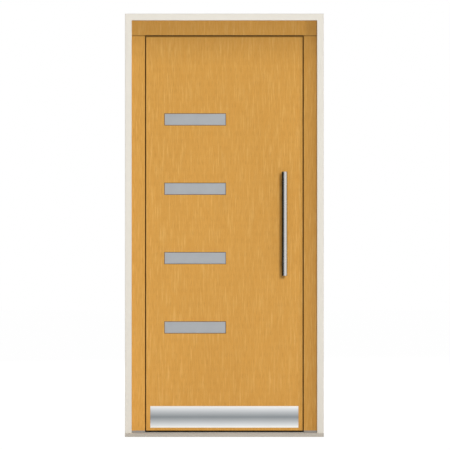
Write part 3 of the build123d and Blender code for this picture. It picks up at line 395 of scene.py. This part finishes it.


# The oak finishes are copies of one veneer, most with their own painted light and shade as fades
finishes = {
    "oakLeaf": oakWood("oak_leaf_veneer", (0.0, 0.0, 0.0), leafShade),
    "oakInside": oakWood("oak_inner_veneer", (3.1, 0.7, 5.2)),
    "oakHead": oakWood("oak_head", (7.3, 1.9, 2.2), headShade),
    "oakHingeJamb": oakWood("oak_hinge_jamb", (11.4, 4.2, 6.8), hingeJambShade),
    "oakLockJamb": oakWood("oak_lock_jamb", (17.9, 2.6, 9.1), lockJambShade),
    "oakBead": oakWood("oak_bead", (23.3, 8.8, 1.4)),
    "coreTimber": oakWood("core_timber", (29.1, 5.5, 3.7), tone=0.96),
    # the leaf's rebated edges, with painted shade where they show through the gap
    "oakShadedEdge": oakWood("oak_leaf_edge_shaded", (31.7, 7.4, 6.6), edgeShade),
    "cream": plainFinish("cream_paint", (233, 228, 217), mottle=0.008, roughness=0.45,
                         speck=600.0, skin=0.12, fades=creamShade),
    "foot": plainFinish("jamb_foot_grey", (160, 156, 150), mottle=0.02, roughness=0.55),
    # a shaded copy of the foot grey: painted shade on the lock jamb's foot
    "lockFootShaded": plainFinish("lock_jamb_foot_grey_shaded", (151, 147, 141), mottle=0.02, roughness=0.55),
    "sill": plainFinish("sill_taupe", (192, 185, 174), mottle=0.02, roughness=0.55,
                        speck=900.0, skin=0.3, fades=sillShade),
    "rubber": plainFinish("seal_black", (30, 28, 26), mottle=0.05, roughness=0.6,
                          speck=900.0, skin=0.2, Sheen_Weight=0.1),
    "board": plainFinish("insulating_board", (188, 186, 178), mottle=0.05, roughness=0.8,
                         speck=250.0, skin=0.5),
    "threshold": brushedMetal("threshold_metal", None, (6.0, 900.0, 900.0), roughness=0.4,
                              bands=thresholdShadeBands),
    "kick": brushedMetal("kick_plate_steel", None, (5.0, 1600.0, 1600.0), roughness=0.34,
                         mark=0.03, bands=kickReflectionBands),
    "bar": brushedMetal("pull_bar_steel", None, (60.0, 60.0, 1800.0), roughness=0.24,
                        mark=0.03, bands=barReflectionBands, rim=0.15),
    "nickel": brushedMetal("satin_nickel", (196, 190, 180), (900.0, 900.0, 40.0),
                           roughness=0.32, mark=0.06),
    "lock": brushedMetal("lock_steel", (182, 182, 180), (900.0, 900.0, 60.0),
                         roughness=0.36, mark=0.06),
    "screw": brushedMetal("screw_steel", (158, 156, 151), (700.0, 700.0, 700.0),
                          roughness=0.3, mark=0.04),
    "spacer": brushedMetal("spacer_metal", (190, 192, 194), (700.0, 700.0, 700.0),
                           roughness=0.4),
    "glass": satinGlass("satin_glass", (176, 180, 184), glassShade),
}
print("materials ready")

finishOfSlot = {
    "oak_frame": "oakHead",
    "oak_leaf": "oakInside",
    "core_timber": "coreTimber",
    "insulation": "board",
    "trim_cream": "cream",
    "foot_grey": "foot",
    "threshold_grey": "threshold",
    "sill_taupe": "sill",
    "seal_black": "rubber",
    "brushed_steel": "bar",
    "satin_nickel": "nickel",
    "lock_steel": "lock",
    "spacer_alu": "spacer",
    "satin_glass": "glass",
}
finishOfNode = {
    "outer_facing": "oakLeaf",
    "hinge_jamb": "oakHingeJamb",
    "lock_jamb": "oakLockJamb",
    "lock_jamb_foot": "lockFootShaded",
    "kick_plate": "kick",
    "hinge_stile": "oakShadedEdge",
    "lock_stile": "oakShadedEdge",
    "top_rail": "oakShadedEdge",
    "bottom_rail": "oakShadedEdge",
    "glazing_bead_1": "oakBead",
    "glazing_bead_2": "oakBead",
    "glazing_bead_3": "oakBead",
    "glazing_bead_4": "oakBead",
}
for part in frame["record"]["subparts"]:
    node = frame["nodes"][part["node"]]
    finish = finishOfNode.get(part["node"], finishOfSlot[part["material_slot"]])
    for slot in node.material_slots:
        slot.material = finishes[finish]
print("finishes given to the nodes")


# New pieces. Each is built as a bmesh and put in the scene here

def addPiece(name, mesh, finish, body, replaced=()):
    bmesh.ops.recalc_face_normals(mesh, faces=mesh.faces)
    piece = bpy.data.objects.new(name, bpy.data.meshes.new(name))
    mesh.to_mesh(piece.data)
    mesh.free()
    bpy.context.scene.collection.objects.link(piece)
    piece.data.materials.append(finishes[finish])
    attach(piece, body)
    if replaced:
        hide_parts(*replaced)


def shadeSmooth(mesh, sharpest=35.0):
    for face in mesh.faces:
        face.smooth = True
    for edge in mesh.edges:
        if len(edge.link_faces) == 2 and edge.calc_face_angle() > math.radians(sharpest):
            edge.smooth = False


def pointsOf(grown):
    return [v for v in grown["geom"] if isinstance(v, bmesh.types.BMVert)]


# Dark seals round the glass of each light, outside and inside, in the recess of the facing or bead

gasketLook = {
    "lap": 0.009,          # how far the glass reaches behind the facing
    "wide": 0.0022,
    "proud": 0.0022,
    "edge": 0.0006,
    "inWide": 0.003,
    "inProud": 0.003,
}


def gasketRing(mesh, width, height, centre, wide, proud, side):
    # side: -1 stands out to the street, 1 to the room
    before = set(mesh.verts)
    grid = bmesh.ops.create_grid(mesh, x_segments=1, y_segments=1, size=1.0)
    bmesh.ops.scale(mesh, vec=(width / 2, height / 2, 1.0), verts=grid["verts"])
    plate = [f for f in mesh.faces if all(v in grid["verts"] for v in f.verts)]
    ring = bmesh.ops.inset_region(mesh, faces=plate, thickness=wide, use_even_offset=True,
                                  use_boundary=True)
    bmesh.ops.delete(mesh, geom=plate, context="FACES")
    risen = pointsOf(bmesh.ops.extrude_face_region(mesh, geom=ring["faces"]))
    bmesh.ops.translate(mesh, verts=risen, vec=(0, 0, proud))
    tops = [e for e in mesh.edges if all(v in risen for v in e.verts)]
    lips = [e for e in tops if e.calc_length() > wide * 2]
    bmesh.ops.bevel(mesh, geom=lips, offset=gasketLook["edge"], segments=2, affect="EDGES",
                    profile=0.5, material=-1)
    fresh = [v for v in mesh.verts if v not in before]
    turn = Matrix.Rotation(math.radians(90 * -side), 3, "X")
    bmesh.ops.rotate(mesh, verts=fresh, cent=(0, 0, 0), matrix=turn)
    bmesh.ops.translate(mesh, verts=fresh, vec=centre)


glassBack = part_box("glazing_bead_1")[0].y
for number in "1234":
    paneLow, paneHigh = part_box("outer_pane_" + number)
    middle = (paneLow + paneHigh) / 2
    openWide = paneHigh.x - paneLow.x - 2 * gasketLook["lap"]
    openTall = paneHigh.z - paneLow.z - 2 * gasketLook["lap"]
    mesh = bmesh.new()
    gasketRing(mesh, openWide, openTall, (middle.x, paneLow.y, middle.z),
               gasketLook["wide"], gasketLook["proud"], -1)
    gasketRing(mesh, openWide, openTall, (middle.x, glassBack, middle.z),
               gasketLook["inWide"], gasketLook["inProud"], 1)
    addPiece("glazing_seal_" + number, mesh, "rubber", "leaf")
print("glazing seals made")


# A rubber strip along the front of the threshold's rib, with two fine lips

stripLook = {
    "inset": 0.0004,
    "section": [(0.042, 0.0241), (0.042, 0.0298), (0.0402, 0.0298), (0.0396, 0.029),
                (0.0403, 0.0278), (0.0397, 0.0264), (0.0404, 0.0252), (0.0399, 0.0241)],
}
mesh = bmesh.new()
stripStart = thresholdLow.x + stripLook["inset"]
stripLong = thresholdHigh.x - thresholdLow.x - 2 * stripLook["inset"]
cap = mesh.faces.new([mesh.verts.new((stripStart, y, z)) for y, z in stripLook["section"]])
far = pointsOf(bmesh.ops.extrude_face_region(mesh, geom=[cap]))
bmesh.ops.translate(mesh, verts=far, vec=(stripLong, 0, 0))
addPiece("threshold_strip", mesh, "rubber", "frame")
print("threshold strip made")


# Countersunk screws with a six-lobed socket, in place of the plain ones

screwLook = {
    "round": 24,           # points round a ring
    "lobes": 6,
    "lobe": 0.22,          # how deep the lobes bite, as a share of the socket
    "socket": 0.0017,
    "floor": 0.9,          # the socket's floor, as a share of its mouth
    "deep": 0.0011,
    "lip": 0.00015,        # soft edge of the socket
    "rim": 0.0002,
    "rimLobe": 0.6,
    "edge": 0.0001,        # soft edge of the head
    "headEdge": 0.0004,
    "thread": 0.0016,
    "ridge": 0.0004,
    "plain": 0.004,        # unthreaded length below the head
    "tip": 0.004,
    "tipWide": 0.7,
    "tipStart": 0.6,
    "point": 0.15,
}


def ringOf(mesh, radius, height, lobe=0.0):
    points = []
    count = screwLook["round"]
    for i in range(count):
        angle = 2 * math.pi * i / count
        wave = 0.5 - 0.5 * math.cos(screwLook["lobes"] * angle)
        reach = radius * (1 - lobe * wave)
        points.append(mesh.verts.new((reach * math.cos(angle), reach * math.sin(angle), height)))
    edges = [mesh.edges.new((points[i], points[(i + 1) % count])) for i in range(count)]
    return edges, points


def turned(mesh, rings):
    # rings of (radius, height, lobe) joined one to the next, closed at both ends
    before = set(mesh.verts)
    loops = [ringOf(mesh, *ring) for ring in rings]
    for (first, _), (second, _) in zip(loops, loops[1:]):
        bmesh.ops.bridge_loops(mesh, edges=first + second)
    for _, ends in (loops[0], loops[-1]):
        mesh.faces.new(ends)
    return [v for v in mesh.verts if v not in before]


def screwRings(headRadius, headHeight, shankRadius, length):
    look = screwLook
    bottom = -length
    rings = [
        (look["socket"] * look["floor"], -look["deep"], look["lobe"]),
        (look["socket"], -look["lip"], look["lobe"]),
        (look["socket"] + look["rim"], 0.0, look["lobe"] * look["rimLobe"]),
        (headRadius - look["headEdge"], 0.0, 0.0),
        (headRadius - look["edge"], -look["rim"], 0.0),
        (shankRadius, -headHeight, 0.0),
    ]
    at = -headHeight - look["plain"]
    while at - look["thread"] > bottom + look["tip"]:
        rings.append((shankRadius - look["ridge"], at, 0.0))
        rings.append((shankRadius, at - look["thread"] / 2, 0.0))
        at -= look["thread"]
    rings.append((shankRadius * look["tipWide"], bottom + look["tip"] * look["tipStart"], 0.0))
    rings.append((shankRadius * look["point"], bottom, 0.0))
    return rings


def islandsOf(node):
    # the boxes of the separate solids in a node
    data = node.data
    group = list(range(len(data.vertices)))

    def rootOf(i):
        while group[i] != i:
            group[i] = group[group[i]]
            i = group[i]
        return i

    spots = {}
    for v in data.vertices:
        key = tuple(round(c, 6) for c in v.co)
        group[v.index] = spots.setdefault(key, v.index)
    for e in data.edges:
        a, b = rootOf(e.vertices[0]), rootOf(e.vertices[1])
        group[b] = a
    boxes = {}
    for v in data.vertices:
        low, high = boxes.setdefault(rootOf(v.index), (v.co.copy(), v.co.copy()))
        for i in range(3):
            low[i] = min(low[i], v.co[i])
            high[i] = max(high[i], v.co[i])
    return sorted(boxes.values(), key=lambda box: tuple(round(c, 4) for c in box[0]))


def makeScrews(nodeName, body):
    mesh = bmesh.new()
    for low, high in islandsOf(frame["nodes"][nodeName]):
        size = high - low
        spot = (low + high) / 2
        if size.y > size.x:
            spot.y = high.y      # driven from the room
            turn = Matrix.Rotation(math.radians(-90), 3, "X")
        elif body == "leaf":
            spot.x = high.x      # driven into the leaf's edge
            turn = Matrix.Rotation(math.radians(90), 3, "Y")
        else:
            spot.x = low.x       # driven into the jamb
            turn = Matrix.Rotation(math.radians(-90), 3, "Y")
        radius = size.z / 2
        fresh = turned(mesh, screwRings(radius, radius / 2, radius / 2, max(size.x, size.y)))
        bmesh.ops.rotate(mesh, verts=fresh, cent=(0, 0, 0), matrix=turn)
        bmesh.ops.translate(mesh, verts=fresh, vec=spot)
    bmesh.ops.recalc_face_normals(mesh, faces=mesh.faces)
    shadeSmooth(mesh)
    addPiece(nodeName + "_turned", mesh, "screw", body, [nodeName])


makeScrews("frame_screws", "frame")
makeScrews("leaf_screws", "leaf")
print("screws made")


# Stage: a pale floor, white to the camera apart from the object's shadow

stageLook = {"reach": 40.0, "white": 0.9, "shadow": 0.1, "glow": 0.965}


def seenRays(tree):
    # 1 where the camera, a reflection or glass looks, 0 for light on its way
    rays = addNode(tree, "LightPath").outputs
    seen = calc(tree, "MAXIMUM", None, {0: rays["Is Camera Ray"], 1: rays["Is Glossy Ray"]})
    return calc(tree, "MAXIMUM", None, {0: seen, 1: rays["Is Transmission Ray"]})


def makeFloor():
    material, tree, shader = newMaterial("floor_white")
    setShader(shader, Base_Color=(stageLook["white"],) * 3 + (1.0,), Roughness=0.9,
              Specular_IOR_Level=0.1)
    seen = seenRays(tree)
    share = calc(tree, "MULTIPLY", {1: 1.0 - stageLook["shadow"]}, {0: seen})
    strength = calc(tree, "MULTIPLY", {1: stageLook["glow"]}, {0: seen})
    glow = addNode(tree, "Emission", {"Color": (1, 1, 1, 1)}, {"Strength": strength})
    lit = addNode(tree, "MixShader", None, {0: share, 1: shader.outputs[0]})
    both = addNode(tree, "AddShader", None, {0: lit.outputs[0], 1: glow.outputs[0]})
    tree.links.new(both.outputs[0], tree.nodes["Material Output"].inputs["Surface"])
    bpy.ops.mesh.primitive_plane_add(size=stageLook["reach"], location=(0, 0, 0))
    floor = bpy.context.object
    floor.name = "floor"
    floor.data.materials.append(material)


makeFloor()


# Light: a soft key lamp to the right of the camera, one behind the door, and an even sky

lightLook = {
    "ambient": 0.27,
    "key": 277.0, "keySize": 1.2, "keyFrom": (1.35, -6.6, 2.3),
    "back": 300.0, "backSize": 2.5, "backFrom": (-1.8, 6.5, 3.2),
    "aim": (0.0, 0.0, 1.15),
}

world = bpy.data.worlds.new("studio")
bpy.context.scene.world = world
world.use_nodes = True
sky = world.node_tree
strength = rangeOf(sky, seenRays(sky), 0.0, 1.0, lightLook["ambient"], 1.0)
sky.nodes["Background"].inputs["Color"].default_value = (1, 1, 1, 1)
sky.links.new(strength, sky.nodes["Background"].inputs["Strength"])


def addLamp(name, size, power, spot):
    lamp = bpy.data.lights.new(name, "AREA")
    lamp.shape = "DISK"
    lamp.size = size
    lamp.energy = power
    holder = bpy.data.objects.new(name, lamp)
    bpy.context.scene.collection.objects.link(holder)
    holder.location = spot
    towards = Vector(lightLook["aim"]) - Vector(spot)
    holder.rotation_euler = towards.to_track_quat("-Z", "Y").to_euler()
    holder.visible_glossy = False


addLamp("key_lamp", lightLook["keySize"], lightLook["key"], lightLook["keyFrom"])
addLamp("back_lamp", lightLook["backSize"], lightLook["back"], lightLook["backFrom"])


# An upright card beside the camera, which only shows in bright metal

cardLook = {"x": -3.0, "near": -6.0, "far": 1.5, "top": 4.5, "grey": 0.02}


def addCard(name, look):
    material, tree, _ = newMaterial(name)
    glow = addNode(tree, "Emission", {"Color": (look["grey"],) * 3 + (1.0,)})
    tree.links.new(glow.outputs[0], tree.nodes["Material Output"].inputs["Surface"])
    mesh = bmesh.new()
    low = [mesh.verts.new((look["x"], y, 0.0)) for y in (look["near"], look["far"])]
    high = [mesh.verts.new((look["x"], y, look["top"])) for y in (look["far"], look["near"])]
    mesh.faces.new(low + high)
    card = bpy.data.objects.new(name, bpy.data.meshes.new(name))
    mesh.to_mesh(card.data)
    mesh.free()
    card.data.materials.append(material)
    bpy.context.scene.collection.objects.link(card)
    for kind in ("camera", "diffuse", "shadow", "transmission", "volume_scatter"):
        setattr(card, "visible_" + kind, False)


addCard("dark_card", cardLook)
print("stage and lamps set")


# Camera: straight on, through a long lens

cameraLook = {"aimX": 0.0034, "aimZ": 1.142, "wide": 2.43, "lens": 200.0, "sensor": 36.0,
              "clipEnd": 100.0}
camera = bpy.data.cameras.new("camera")
camera.lens = cameraLook["lens"]
camera.sensor_width = cameraLook["sensor"]
camera.clip_end = cameraLook["clipEnd"]
cameraHolder = bpy.data.objects.new("camera", camera)
bpy.context.scene.collection.objects.link(cameraHolder)
distance = cameraLook["wide"] * cameraLook["lens"] / cameraLook["sensor"]
cameraHolder.location = (cameraLook["aimX"], -distance, cameraLook["aimZ"])
cameraHolder.rotation_euler = (math.radians(90), 0, 0)
bpy.context.scene.camera = cameraHolder
bpy.context.scene.view_settings.view_transform = "Standard"
